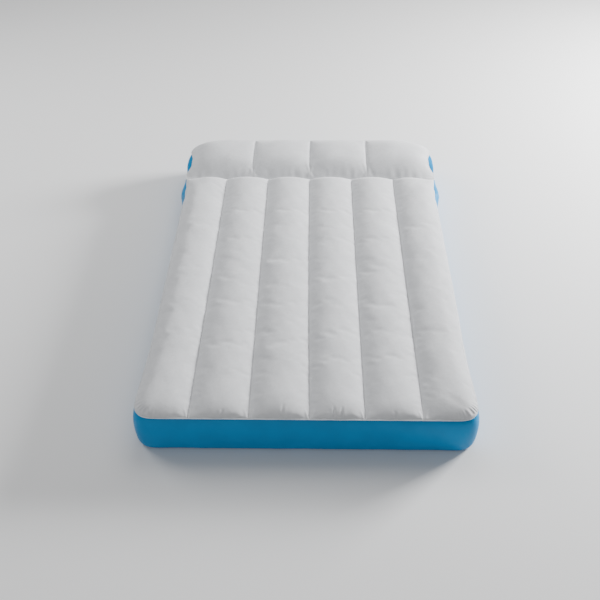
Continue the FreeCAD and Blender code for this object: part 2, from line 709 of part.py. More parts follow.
def flap_keeper():
    """The clip that holds the flap's bead against the collar's inner end."""
    piece = body("flap_keeper")
    groove = "(bead_radius + bead_clearance)"
    back = f"({FLAP_MIDDLE} - {groove} - keeper_back)"
    low, high = "(flap_hinge_rise - keeper_below_bead)", "(flap_hinge_rise + keeper_above_bead)"
    valve_box(piece, "Additive", "block", "-keeper_half_width", "keeper_half_width",
              back, "-collar_depth", low, high)
    valve_box(piece, "Subtractive", "slot", "-keeper_slot_half_width", "keeper_slot_half_width",
              f"{back} + keeper_back", "1 - collar_depth", f"{low} - 1", f"{high} + 1")
    cross_cylinder(piece, "Subtractive", "groove", groove, "(keeper_half_width + 1)", FLAP_MIDDLE,
                   "flap_hinge_rise")
    return piece


def valve_cap():
    """The flip cap: a disc with a hollow plug, a hinge tongue with its barrel and a pull tab."""
    piece = body("valve_cap")
    plug = "(collar_bore_radius - plug_clearance)"
    plug_end = f"({CAP_BASE} - plug_depth)"
    turned(piece, "outline", [
        ("0", CAP_BASE), (f"{plug} - plug_wall", CAP_BASE), (f"{plug} - plug_wall", plug_end),
        (f"{plug} - plug_taper", plug_end), (plug, f"{plug_end} + 2 * plug_taper"), (plug, CAP_BASE),
        ("cap_radius - cap_edge", CAP_BASE), ("cap_radius", f"{CAP_BASE} + cap_edge"),
        ("cap_radius", f"{CAP_TOP} - cap_edge"), ("cap_radius - cap_edge", CAP_TOP), ("0", CAP_TOP),
    ])
    valve_box(piece, "Additive", "tongue", "-tongue_half_width", "tongue_half_width", CAP_BASE, CAP_TOP,
              "cap_radius - 2", "cap_hinge_rise")
    cross_cylinder(piece, "Additive", "barrel", "barrel_radius", "barrel_half_length", BARREL_OUT,
                   "cap_hinge_rise")
    valve_box(piece, "Additive", "pull_tab", "-pull_tab_half_width", "pull_tab_half_width",
              f"{CAP_TOP} - pull_tab_thick", CAP_TOP, "-(cap_radius + pull_tab_length)", "2 - cap_radius")
    return piece


# ---------------------------------------------------------------- build, check and write

def build():
    inner_edge = f"({SEAM_HALF_WIDTH} - seam_inside - fold_gap)"
    inner_end = f"({SEAM_HALF_LENGTH} - seam_inside - fold_gap)"
    return [
        flat_sheet("bottom_sheet", inner_edge, f"-{inner_end}", inner_end, "0", "film"),
        seam_ring("bottom_seam", "0", "seam_thick", "seam_lip"),
        side_wall(),
        seam_ring("top_seam", "seam_height", "seam_thick", "seam_lip"),
        top_sheet(),
        *main_beams(),
        *pillow_pieces(),
        valve_base(),
        valve_seal(),
        valve_collar(),
        valve_flap(),
        flap_keeper(),
        valve_cap(),
    ]


PIECES = build()
DOC.recompute()
for thing in DOC.Objects:
    if {"Invalid", "Error"} & set(thing.State):
        raise ValueError(f"{thing.Name} failed: {thing.State}")
os.makedirs("parts", exist_ok=True)
for piece in PIECES:
    shape = piece.Shape
    if shape.isNull() or not shape.isValid() or shape.Volume <= 0:
        raise ValueError(f"{piece.Label} has no sound shape")
    shape.exportStep(os.path.join("parts", f"{piece.Label}.step"))
    box = shape.BoundBox
    print(f"{piece.Label:18s} solids {len(shape.Solids)} volume {shape.Volume:12.1f} "
          f"x {box.XMin:8.1f} {box.XMax:8.1f} y {box.YMin:8.1f} {box.YMax:8.1f} "
          f"z {box.ZMin:6.1f} {box.ZMax:6.1f}")
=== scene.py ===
"""The look of a quilted air mattress: soft skins, welded seams, materials, light and camera."""

import math

import bpy
import numpy as np
from mathutils import Matrix, Vector


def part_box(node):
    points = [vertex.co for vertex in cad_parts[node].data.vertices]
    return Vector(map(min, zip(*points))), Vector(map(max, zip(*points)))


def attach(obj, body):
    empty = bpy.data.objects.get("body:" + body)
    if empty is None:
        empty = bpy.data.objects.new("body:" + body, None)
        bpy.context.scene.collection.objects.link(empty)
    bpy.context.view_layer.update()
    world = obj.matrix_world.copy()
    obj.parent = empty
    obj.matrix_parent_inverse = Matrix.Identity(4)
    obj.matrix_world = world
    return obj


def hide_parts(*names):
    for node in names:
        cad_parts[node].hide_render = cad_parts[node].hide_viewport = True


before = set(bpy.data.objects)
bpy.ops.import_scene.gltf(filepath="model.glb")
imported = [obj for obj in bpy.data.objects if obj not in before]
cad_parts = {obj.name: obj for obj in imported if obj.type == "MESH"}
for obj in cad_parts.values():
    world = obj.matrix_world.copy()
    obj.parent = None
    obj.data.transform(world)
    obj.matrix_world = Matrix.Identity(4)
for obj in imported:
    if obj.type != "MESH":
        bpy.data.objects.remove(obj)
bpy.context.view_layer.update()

MM = 0.001
FOOT = -1
HEAD = 1


def low(node):
    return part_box(node)[0]


def high(node):
    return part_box(node)[1]


def middle(node):
    return (low(node) + high(node)) / 2


# Places taken from the CAD parts, in metres. The mattress's middle is at x = y = 0 and the floor at z = 0.
SEAM_Z = middle("top_seam").z
SEAM_X = high("top_seam").x - 7 * MM
SEAM_Y = high("top_seam").y - 4 * MM
WALL_X = high("side_wall").x
WALL_Y = high("side_wall").y
CROWN_Z = high("top_sheet").z
JUNCTION_Y = middle("pillow_front_seam").y
PILLOW_CREST_Z = high("pillow_sheet").z
PILLOW_SEAM_Z = middle("pillow_seam").z - 9 * MM
VALVE = middle("valve_base")
BEAMS = [f"beam_{i}" for i in range(1, 6)]
PILLOW_BEAMS = [f"pillow_beam_{i}" for i in range(1, 4)]
CHANNEL_VALLEYS = [middle(beam).x for beam in BEAMS]
CHAMBER_SPACING = 0.92                       # the pillow's valleys stand a little closer than its strips
CHAMBER_VALLEYS = [CHAMBER_SPACING * middle(beam).x for beam in PILLOW_BEAMS]

# The corners, in plan and in section, are superellipses of this power.
CORNER_POWER = 3.3

# How far from each edge a skin starts to roll over, and the two powers of each roll's section.
SIDE_REACH = 96 * MM
FOOT_REACH = 82 * MM
FOOT_ROUND = 125 * MM                        # between the corners, the roll at the foot is this long
FRONT_REACH = 42 * MM                        # at the junction, where the channels end before the pillow
HEAD_REACH = 190 * MM
PILLOW_SIDE_REACH = 270 * MM
MAIN_ROLL = (2.5, 0.62)
PILLOW_ROLL = (4.0, 1.0)

# How the skins meet their seams.
PILLOW_LEAN = 15 * MM                        # the pillow's rear edge stands this far inside the seam
PILLOW_SIDE_LEAN = 3 * MM
EDGE_OVERHANG = 6 * MM                       # a sheet's side edges stand this far outside their seam
EDGE_LIFT = 9 * MM                           # and this far above it
PILLOW_EDGE_LIFT = 4 * MM
EDGE_STEP = 1.5 * MM                         # no edge is nearer than this above its seam
FRONT_TUCK = 9 * MM                          # the pillow's front edge goes this far under the channels
FRONT_TUCK_DOWN = 5 * MM
FRONT_TUCK_LENGTH = 8 * MM
PILLOW_RISE = (30 * MM, 120 * MM)            # from the junction, where the pillow's seam climbs
JUNCTION_FADE = 60 * MM                      # from the junction, where the lift and the overhang grow

# The quilting.
CHANNEL_SWELL = 7 * MM                       # the crowns stand this far above the CAD sheet
VALLEY_DEPTH = 24 * MM
CHAMBER_DEPTH = 19 * MM                      # of the pillow's valleys
ARCH_POWER = 2.1                             # higher makes the crowns flatter
CREASE_DEPTH = 2.6 * MM
CREASE_WIDTH = 4.5 * MM
PILLOW_CREASE_WIDTH = 7 * MM
FRONT_CORNER_DROP = 0.62                     # share of the height the channels lose at the junction's ends
FOOT_DRIFT = [-6 * MM, 2 * MM, 12 * MM, 3 * MM, 2 * MM]    # of each valley in x, at the foot

# How the sides draw in, seen from above. The waist grows between the first two y values of WAIST_Y and
# fades between the last two.
CHANNEL_WAIST = 19 * MM
WAIST_Y = (-1.12 * SEAM_Y, -0.55 * SEAM_Y, 0.43, 0.51)
RIGHT_FOOT_WAIST = 6 * MM
MAIN_PINCH = 19 * MM
PILLOW_PINCH = 24 * MM
PINCH_Y = JUNCTION_Y - 85 * MM               # where the main body is pinched most

# Mesh density.
SHEET_BUNCH = 0.75                           # how much the rows crowd towards a sheet's ends
CHANNEL_BUNCH = 0.7                          # how much the columns crowd towards the valleys
RIM_LOOPS = 5
FINE_LEVELS = 2


# ---------------------------------------------------------------- small helpers

def smooth_step(value, start, end):
    """0 before start, 1 after end, and an even S between."""
    t = np.clip((value - start) / (end - start), 0, 1)
    return t * t * (3 - 2 * t)


def window(value, rise_start, rise_end, fall_start, fall_end):
    """0 outside, 1 inside, with soft shoulders."""
    return smooth_step(value, rise_start, rise_end) * (1 - smooth_step(value, fall_start, fall_end))


def bump(value, centre, width):
    """A bell: 1 at its centre, and falling to 0 on both sides."""
    return np.exp(-(((value - centre) / width) ** 2))


def bunched(count, share):
    """Fractions from 0 to 1, closer together at both ends."""
    even = np.linspace(0, 1, count + 1)
    return (1 - share) * even + share * (1 - np.cos(math.pi * even)) / 2


def along(line, fractions):
    """Points at fractions of a polyline's length."""
    steps = np.hypot(*np.diff(line, axis=0).T)
    length = np.concatenate([[0], np.cumsum(steps)])
    where = np.asarray(fractions) * length[-1]
    return np.stack([np.interp(where, length, line[:, k]) for k in (0, 1)], axis=-1)


def outward(line, closed):
    """Unit normals on the right-hand side of a polyline in plan."""
    if closed:
        run = np.roll(line, -1, axis=0) - np.roll(line, 1, axis=0)
    else:
        run = np.gradient(line, axis=0)
    run /= np.hypot(run[:, 0], run[:, 1])[:, None]
    return np.stack([run[:, 1], -run[:, 0]], axis=-1)


def ripple(x, y, wavelength, seed):
    """A smooth irregular wave, about -1 to 1, the same on every run."""
    waves = 7
    usual_peak = 3.2
    chance = np.random.default_rng(seed)
    total = np.zeros_like(x)
    for _ in range(waves):
        heading = chance.uniform(0, math.pi)
        pitch = wavelength * chance.uniform(0.7, 1.6)
        phase = chance.uniform(0, 2 * math.pi)
        total += np.sin(2 * math.pi * (x * math.cos(heading) + y * math.sin(heading)) / pitch + phase)
    return total / usual_peak


def grid_faces(rows, columns, wrap=False):
    """Quads of a grid of points stored row by row."""
    last = columns if wrap else columns - 1
    faces = []
    for j in range(rows - 1):
        for i in range(last):
            a = j * columns + i
            b = j * columns + (i + 1) % columns
            faces.append((a, b, b + columns, a + columns))
    return faces


def smooth_shading(mesh):
    mesh.polygons.foreach_set("use_smooth", [True] * len(mesh.polygons))


def make_piece(name, points, faces, material):
    """A smooth-shaded piece of the inflated mattress; points may come as rows or as loops of points."""
    mesh = bpy.data.meshes.new(name)
    mesh.from_pydata(np.asarray(points).reshape(-1, 3).tolist(), [], faces)
    mesh.validate()
    smooth_shading(mesh)
    mesh.materials.append(material)
    obj = bpy.data.objects.new(name, mesh)
    bpy.context.scene.collection.objects.link(obj)
    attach(obj, "mattress")
    return obj


def get_points(obj):
    flat = np.empty(len(obj.data.vertices) * 3)
    obj.data.vertices.foreach_get("co", flat)
    return flat.reshape(-1, 3)


def set_points(obj, points):
    obj.data.vertices.foreach_set("co", np.ascontiguousarray(points).ravel())
    obj.data.update()


def get_normals(obj):
    flat = np.empty(len(obj.data.vertices) * 3)
    obj.data.vertex_normals.foreach_get("vector", flat)
    return flat.reshape(-1, 3)


def apply_modifiers(obj):
    bpy.context.view_layer.update()
    graph = bpy.context.evaluated_depsgraph_get()
    mesh = bpy.data.meshes.new_from_object(obj.evaluated_get(graph))
    obj.modifiers.clear()
    old = obj.data
    obj.data = mesh
    bpy.data.meshes.remove(old)


def subdivide(obj, levels):
    obj.modifiers.new("Subdivide", "SUBSURF").levels = levels
    apply_modifiers(obj)
    smooth_shading(obj.data)


def face_up(obj):
    """Turn the mesh so that its faces look up."""
    if get_normals(obj)[:, 2].mean() < 0:
        obj.data.flip_normals()


def face_down(obj):
    if get_normals(obj)[:, 2].mean() > 0:
        obj.data.flip_normals()


def face_outward(obj):
    """Turn the mesh so that its faces look away from the mattress's middle."""
    points = get_points(obj)
    if (get_normals(obj)[:, :2] * points[:, :2]).sum() < 0:
        obj.data.flip_normals()


# ---------------------------------------------------------------- materials

class Shader:
    """A Principled material with a few ready-made procedural inputs."""

    def __init__(self, name, color, roughness, **sockets):
        self.material = bpy.data.materials.new(name)
        self.material.use_nodes = True
        self.nodes = self.material.node_tree.nodes
        self.links = self.material.node_tree.links
        self.surface = self.nodes["Principled BSDF"]
        self.surface.inputs["Base Color"].default_value = (*color, 1)
        self.surface.inputs["Roughness"].default_value = roughness
        for socket, value in sockets.items():
            self.surface.inputs[socket.replace("_", " ")].default_value = value
        self.place = self.nodes.new("ShaderNodeTexCoord").outputs["Object"]
        self.normal = None

    def texture(self, kind, size, stretch=(1, 1, 1)):
        """A texture node laid out so that its features are about size metres across."""
        mapping = self.nodes.new("ShaderNodeMapping")
        mapping.inputs["Scale"].default_value = [k / size for k in stretch]
        self.links.new(self.place, mapping.inputs["Vector"])
        node = self.nodes.new(kind)
        node.inputs["Scale"].default_value = 1
        self.links.new(mapping.outputs["Vector"], node.inputs["Vector"])
        return node

    def noise(self, size, detail=2, roughness=0.5, stretch=(1, 1, 1)):
        node = self.texture("ShaderNodeTexNoise", size, stretch)
        node.inputs["Detail"].default_value = detail
        node.inputs["Roughness"].default_value = roughness
        return node.outputs["Fac"]

    def cells(self, size):
        return self.texture("ShaderNodeTexVoronoi", size).outputs["Distance"]

    def shades(self, source, dark, light, dark_at=0.3, light_at=0.7):
        """The source's low and high parts as two colours that ease into each other."""
        node = self.nodes.new("ShaderNodeValToRGB")
        node.color_ramp.interpolation = "EASE"
        for element, at, color in zip(node.color_ramp.elements, (dark_at, light_at), (dark, light)):
            element.position = at
            element.color = (*color, 1)
        self.links.new(source, node.inputs["Fac"])
        return node.outputs["Color"]

    def darken(self, base, other, amount):
        """The base colour multiplied by another, by the amount given."""
        node = self.nodes.new("ShaderNodeMix")
        node.data_type = "RGBA"
        node.blend_type = "MULTIPLY"
        node.inputs["Factor"].default_value = amount
        self.links.new(base, node.inputs["A"])
        self.links.new(other, node.inputs["B"])
        return node.outputs["Result"]

    def color_from(self, source):
        self.links.new(source, self.surface.inputs["Base Color"])

    def roughness_from(self, source, low_value, high_value):
        node = self.nodes.new("ShaderNodeMapRange")
        node.inputs["From Min"].default_value = 0.3
        node.inputs["From Max"].default_value = 0.7
        node.inputs["To Min"].default_value = low_value
        node.inputs["To Max"].default_value = high_value
        self.links.new(source, node.inputs["Value"])
        self.links.new(node.outputs["Result"], self.surface.inputs["Roughness"])

    def bump(self, source, depth, strength):
        """Relief of the given depth; each call adds to the last."""
        node = self.nodes.new("ShaderNodeBump")
        node.inputs["Strength"].default_value = strength
        node.inputs["Distance"].default_value = depth
        self.links.new(source, node.inputs["Height"])
        if self.normal is not None:
            self.links.new(self.normal, node.inputs["Normal"])
        self.normal = node.outputs["Normal"]
        self.links.new(self.normal, self.surface.inputs["Normal"])


def flocked_top():
    """Short grey nap: matt, a little mottled where the pile lies different ways."""
    shader = Shader("flocked_top", (0.67, 0.68, 0.70), 0.96, Sheen_Weight=0.25, Sheen_Roughness=0.6,
                    Specular_IOR_Level=0.15)
    white = (1, 1, 1)
    broad = shader.shades(shader.noise(70 * MM, 3), (0.65, 0.66, 0.68), (0.695, 0.705, 0.725))
    patchy = shader.shades(shader.noise(16 * MM, 4, 0.6), (0.93, 0.93, 0.93), white)
    specks = shader.shades(shader.noise(1.6 * MM), (0.90, 0.90, 0.90), white, light_at=0.65)
    color = shader.darken(broad, patchy, 0.8)
    shader.color_from(shader.darken(color, specks, 0.6))
    shader.bump(shader.noise(14 * MM, 3, 0.6), 0.9 * MM, 0.5)
    shader.bump(shader.noise(1.2 * MM), 0.25 * MM, 0.6)
    return shader.material


def blue_vinyl():
    """Soft-gloss PVC film with a fine leathery grain and shallow upright buckles."""
    shader = Shader("blue_vinyl", (0.0, 0.22, 0.49), 0.42, Specular_IOR_Level=0.15)
    shader.color_from(shader.shades(shader.noise(90 * MM), (0.0, 0.21, 0.47), (0.0, 0.23, 0.51)))
    shader.roughness_from(shader.noise(40 * MM, 3), 0.32, 0.44)
    shader.bump(shader.noise(45 * MM, stretch=(1, 1, 0.35)), 2.2 * MM, 0.5)
    shader.bump(shader.cells(1.1 * MM), 0.06 * MM, 0.5)
    return shader.material


def weld_edge():
    """The edge where two films are welded: its pale tone is partly the weld's own and partly painted highlight.
    """
    # Pale colour: partly the weld's own, partly painted highlight along the seam's ridge.
    shader = Shader("weld_edge", (0.74, 0.79, 0.82), 0.5)
    shader.color_from(shader.shades(shader.noise(12 * MM), (0.70, 0.755, 0.79), (0.78, 0.82, 0.85)))
    shader.bump(shader.noise(3 * MM), 0.2 * MM, 0.5)
    return shader.material


def inner_film():
    """Milky film of the strips that tie the top to the bottom."""
    shader = Shader("inner_film", (0.70, 0.74, 0.78), 0.45, Subsurface_Weight=0.1)
    shader.color_from(shader.shades(shader.noise(50 * MM), (0.66, 0.70, 0.75), (0.74, 0.78, 0.81)))
    shader.bump(shader.noise(9 * MM), 0.3 * MM, 0.4)
    return shader.material


def valve_plastic():
    """Moulded white plastic with a satin spark-eroded finish."""
    shader = Shader("valve_plastic", (0.74, 0.76, 0.78), 0.42)
    shader.color_from(shader.shades(shader.noise(25 * MM), (0.71, 0.73, 0.75), (0.77, 0.785, 0.80)))
    shader.roughness_from(shader.noise(6 * MM, 3), 0.37, 0.48)
    shader.bump(shader.cells(0.45 * MM), 0.02 * MM, 0.6)
    return shader.material


def cap_plastic():
    """The soft blue plastic of the cap."""
    shader = Shader("cap_plastic", (0.005, 0.13, 0.30), 0.38)
    shader.color_from(shader.shades(shader.noise(20 * MM), (0.004, 0.12, 0.28), (0.006, 0.145, 0.33)))
    shader.roughness_from(shader.noise(5 * MM, 3), 0.33, 0.45)
    shader.bump(shader.cells(0.5 * MM), 0.02 * MM, 0.6)
    return shader.material


def seal_rubber():
    """Dark translucent rubber of the seal and the flap."""
    shader = Shader("seal_rubber", (0.035, 0.037, 0.04), 0.7)
    shader.color_from(shader.shades(shader.noise(8 * MM), (0.03, 0.032, 0.035), (0.042, 0.044, 0.047)))
    shader.bump(shader.noise(0.8 * MM), 0.04 * MM, 0.5)
    return shader.material


def studio_floor():
    """A plain matt pale floor."""
    return Shader("studio_floor", (0.86, 0.86, 0.86), 0.9).material


MATERIALS = {
    "flocked_top": flocked_top(),
    "blue_vinyl": blue_vinyl(),
    "weld_edge": weld_edge(),
    "inner_film": inner_film(),
    "valve_plastic": valve_plastic(),
    "cap_plastic": cap_plastic(),
    "seal_rubber": seal_rubber(),
    "studio_floor": studio_floor(),
}


# ---------------------------------------------------------------- outlines in plan

def corner_curve(half, length, reach):
    """The corner of a sheet: side and end meet in one soft curve."""
    angle = np.linspace(0, math.pi / 2, 241)
    side_reach, end_reach = reach
    x = half - side_reach * (1 - np.cos(angle) ** (2 / CORNER_POWER))
    s = length - end_reach * (1 - np.sin(angle) ** (2 / CORNER_POWER))
    x[-1] = half - side_reach
    return np.stack([x, s], axis=-1)


def half_outline(half, length, reach):
    """A side line from s = 0 to mid-corner, and an end line from the middle to mid-corner."""
    corner = corner_curve(half, length, reach)
    mid = len(corner) // 2
    side = np.concatenate([[(half, 0)], corner[: mid + 1]])
    end = np.concatenate([[(0, length)], corner[::-1][: mid + 1]])
    return side, end


def seam_ring(count):
    """The closed seam line round the whole mattress, anticlockwise from above."""
    head = np.concatenate([[(SEAM_X, 0)], corner_curve(SEAM_X, SEAM_Y, (PILLOW_SIDE_REACH, HEAD_REACH))])
    foot = np.concatenate([[(SEAM_X, 0)], corner_curve(SEAM_X, SEAM_Y, (SIDE_REACH, FOOT_REACH))])
    left_head = head[::-1] * [-1, 1]
    left_foot = foot * [-1, -1]
    right_foot = foot[::-1] * [1, -1]
    loop = np.concatenate([head, left_head, left_foot, right_foot])
    points = along(loop, np.linspace(0, 1, count + 1))[:-1]
    return points, outward(points, closed=True)


def main_pinch(y):
    """How far the main sheet's edge draws in just before the junction, where the films pull together."""
    return MAIN_PINCH * bump(y, PINCH_Y, 70 * MM) * (y < JUNCTION_Y)


def pillow_pinch(y):
    """How far the pillow's edge draws in between the junction and the head corners."""
    return PILLOW_PINCH * window(y, JUNCTION_Y + 35 * MM, JUNCTION_Y + 95 * MM,
                                 SEAM_Y - 205 * MM, SEAM_Y - 115 * MM)


def hourglass(x, y):
    """The long sides draw in along their middle, where the channels pull on them."""
    waist = window(y, *WAIST_Y)
    right_foot = (x > 0) * smooth_step(-y, 0.3 * SEAM_Y, 0.85 * SEAM_Y)
    return CHANNEL_WAIST * waist + RIGHT_FOOT_WAIST * right_foot


def move_sides(x, inward):
    """Draw the outer part of a line or sheet in towards the middle."""
    share = smooth_step(np.abs(x), SEAM_X - SIDE_REACH, SEAM_X)
    return x - np.sign(x) * share * inward


def at_side(line):
    """True on the parts of a line that run along the long sides."""
    return np.abs(line[:, 0]) > 0.9 * SEAM_X


# ---------------------------------------------------------------- the quilted top skins

class Skin:
    """A quilted sheet: square at the junction, round-cornered at its far end.

    Its grid runs across in x and away from the junction in s. Its far end is at s = length and its sides are at
    x = half and -half. reach is how far from the side and the end the sheet starts to roll over.
    """

    def __init__(self, end, valleys, drift, length, half, reach, end_round, roll, rows, per_channel):
        self.end = end
        self.roll = roll
        self.length = length
        self.half = half
        self.reach = reach
        self.end_round = end_round
        self.drift = np.array(drift)
        self.valleys = np.array(valleys)
        self.row_s = length * bunched(rows, SHEET_BUNCH)
        self.across = bunched(per_channel, CHANNEL_BUNCH)

    def y(self, s):
        return JUNCTION_Y + self.end * s

    def valley_x(self, index, s):
        return self.valleys[index] + self.drift[index] * (s / self.length) ** 2

    def side_patch(self, index, sign):
        """Grid between an outermost valley and the sheet's side; its last row follows the rounded end."""
        side, end = half_outline(self.half, self.length, self.reach)
        s = self.row_s
        inner = np.stack([sign * self.valley_x(index, s), s], axis=-1)
        outer = along(side, s / self.length)
        end_length = np.hypot(*np.diff(end, axis=0).T).sum()
        start = inner[-1, 0] / end_length
        last = along(end, start + (1 - start) * self.across)
        w = self.across[None, :, None]
        patch = (1 - w) * inner[:, None, :] + w * outer[:, None, :]
        fade = np.exp(-(self.length - s) / (1.2 * self.reach[1]))
        patch += (last - patch[-1])[None, :, :] * fade[:, None, None]
        patch[:, :, 0] *= sign
        return patch

    def plan(self):
        """The whole grid as (x, s) points: the two side patches and the channels between them."""
        s = self.row_s
        strips = [self.side_patch(0, -1)[:, ::-1]]
        for i in range(len(self.valleys) - 1):
            left = self.valley_x(i, s)[:, None]
            right = self.valley_x(i + 1, s)[:, None]
            x = left + (right - left) * self.across[1:]
            strips.append(np.stack([x, np.broadcast_to(s[:, None], x.shape)], axis=-1))
        strips.append(self.side_patch(len(self.valleys) - 1, 1)[:, 1:])
        return np.concatenate(strips, axis=1)

    def arch(self, x, s):
        """0 in a valley and 1 on a crown; the outermost strips stay at 1 out to their side."""
        height = np.ones_like(x)
        lines = [self.valley_x(i, s) for i in range(len(self.valleys))]
        pitch = self.valleys[1] - self.valleys[0]
        for i, line in enumerate(lines):
            gap_right = (lines[i + 1] - line) if i + 1 < len(lines) else pitch
            gap_left = (line - lines[i - 1]) if i else pitch
            gap = np.where(x > line, gap_right, gap_left) / 2
            m = np.clip(1 - np.abs(x - line) / gap, 0, 1)
            height = np.minimum(height, np.where(m > 0, 1 - m ** ARCH_POWER, 1))
        return height

    def side_roll(self, x, s):
        """1 on the flat of the sheet, falling to 0 at its sides and its far end."""
        u = np.clip(1 - (self.half - np.abs(x)) / self.reach[0], 0, 1)
        v = np.clip(1 - (self.length - s) / self.reach[1], 0, 1)
        longer = np.clip(1 - (self.length - s) / self.end_round, 0, 1)
        v = v + (longer - v) * (1 - u) ** 2
        inner, outer = self.roll
        edge = (u ** CORNER_POWER + v ** CORNER_POWER) ** (1 / CORNER_POWER)
        return np.clip(1 - edge ** inner, 0, 1) ** outer

    def crease(self, x, s, width):
        """1 on the valley lines and 0 away from them."""
        total = np.zeros_like(x)
        for i in range(len(self.valleys)):
            total = np.maximum(total, bump(x, self.valley_x(i, s), width))
        return total

    def build(self, name):
        """The sheet with its rolled rim down to the seam, before inflation."""
        x, s = np.moveaxis(self.plan(), -1, 0)
        rows, columns = x.shape
        y = self.y(s)
        inward = main_pinch(y) + pillow_pinch(y) + hourglass(x, y)
        sheet = np.stack([move_sides(x, inward), y, self.height(x, s)], axis=-1).reshape(-1, 3)
        self.grid_count = len(sheet)
        right_side = [(j, columns - 1) for j in range(rows)]
        far_end = [(rows - 1, i) for i in range(columns - 2, -1, -1)]
        left_side = [(j, 0) for j in range(rows - 2, -1, -1)]
        rim = [j * columns + i for j, i in right_side + far_end + left_side]
        points = [sheet] + self.rim_loops(sheet[rim])
        faces = grid_faces(rows, columns)
        previous = rim
        for k in range(RIM_LOOPS):
            current = [self.grid_count + k * len(rim) + a for a in range(len(rim))]
            for a in range(len(rim) - 1):
                faces.append((previous[a], previous[a + 1], current[a + 1], current[a]))
            previous = current
        return make_piece(name, np.concatenate(points), faces, MATERIALS["flocked_top"])

    def rim_loops(self, edge):
        """Copies of the sheet's edge that curl under it, down to the seam."""
        out = outward(edge[:, :2], closed=False) * -self.end
        overhang, seam_z = self.rim_shape(edge)
        loops = []
        for k in range(1, RIM_LOOPS + 1):
            angle = math.pi / 2 * k / RIM_LOOPS
            loop = edge.copy()
            loop[:, :2] -= out * (overhang * (1 - math.cos(angle)))[:, None]
            loop[:, 2] = edge[:, 2] - (edge[:, 2] - seam_z) * math.sin(angle)
            loops.append(loop)
        return loops


class MainSkin(Skin):
    """The six long channels from the junction to the foot."""

    def __init__(self):
        super().__init__(FOOT, CHANNEL_VALLEYS, FOOT_DRIFT, length=JUNCTION_Y + SEAM_Y,
                         half=SEAM_X + EDGE_OVERHANG, reach=(SIDE_REACH, FOOT_REACH),
                         end_round=FOOT_ROUND, roll=MAIN_ROLL, rows=130, per_channel=16)

    def side_share(self, s):
        """1 along the sides and 0 at the foot and the junction."""
        return smooth_step(self.length - s, 0, 1.3 * FOOT_REACH) * smooth_step(s, 0, JUNCTION_FADE)

    def height(self, x, s):
        """Channels between valleys, lower at the two ends of the junction, rolled down to the seam."""
        base = SEAM_Z + EDGE_STEP + EDGE_LIFT * self.side_share(s)
        valley = CROWN_Z + CHANNEL_SWELL - VALLEY_DEPTH
        top = valley + VALLEY_DEPTH * self.arch(x, s)
        near_side = smooth_step(np.abs(x), self.half - 150 * MM, self.half - 10 * MM)
        near_front = 1 - smooth_step(s, 10 * MM, 130 * MM)
        top = top - FRONT_CORNER_DROP * near_side * near_front * (top - base)
        front = np.sqrt(np.clip(1 - (1 - np.clip(s / FRONT_REACH, 0, 1)) ** 2, 0, 1))
        return base + (top - base) * self.side_roll(x, s) * front

    def rim_shape(self, edge):
        """How far the rim curls under, and the height it comes down to."""
        return EDGE_OVERHANG * self.side_share(JUNCTION_Y - edge[:, 1]), SEAM_Z


class PillowSkin(Skin):
    """The four chambers of the pillow, from the junction over to the head."""

    CREST_S = 235 * MM
    FRONT_POWER = 0.72
    VALLEY_ROLL = 62 * MM
    VALLEY_ROLL_POWER = 2.4

    def __init__(self):
        super().__init__(HEAD, CHAMBER_VALLEYS, [0] * 3, length=SEAM_Y - PILLOW_LEAN - JUNCTION_Y,
                         half=SEAM_X - PILLOW_SIDE_LEAN + EDGE_OVERHANG, reach=(PILLOW_SIDE_REACH, HEAD_REACH),
                         end_round=HEAD_REACH, roll=PILLOW_ROLL, rows=44, per_channel=24)

    def tuck(self, s):
        """1 at the front edge, which is tucked under the channels, and 0 behind it."""
        return 1 - smooth_step(s, 0, FRONT_TUCK_LENGTH)

    def y(self, s):
        return super().y(s) - FRONT_TUCK * self.tuck(s)

    def side_share(self, s):
        """1 along the sides and 0 at the head and the junction."""
        return smooth_step(self.length - s, 0, 1.3 * HEAD_REACH) * smooth_step(s, 0, JUNCTION_FADE)

    def seam_z(self, s):
        """The pillow's seam climbs from the junction to the top of the pillow wall."""
        return SEAM_Z + (PILLOW_SEAM_Z - SEAM_Z) * smooth_step(s, *PILLOW_RISE)

    def height(self, x, s):
        """Chambers between valleys that rise from the junction over a crest to the head's seam."""
        base = self.seam_z(s) + EDGE_STEP + PILLOW_EDGE_LIFT * self.side_share(s)
        base -= FRONT_TUCK_DOWN * self.tuck(s)
        front = np.clip(1 - (1 - np.clip(s / self.CREST_S, 0, 1)) ** 2, 0, 1) ** self.FRONT_POWER
        top = base + (PILLOW_CREST_Z - base) * front
        crown = base + (top - base) * self.side_roll(x, s)
        dip = CHAMBER_DEPTH * smooth_step(s, 0, 120 * MM)
        from_head = np.clip((self.length - s) / self.VALLEY_ROLL, 0, 1)
        valley = base + (top - dip - base) * (1 - (1 - from_head) ** self.VALLEY_ROLL_POWER)
        valley = np.minimum(valley, crown)
        return valley + (crown - valley) * self.arch(x, s)

    def rim_shape(self, edge):
        s = edge[:, 1] - JUNCTION_Y
        return EDGE_OVERHANG * self.side_share(s), self.seam_z(s)


INFLATION_FRAMES = 20
MOST_MOVED = 5 * MM


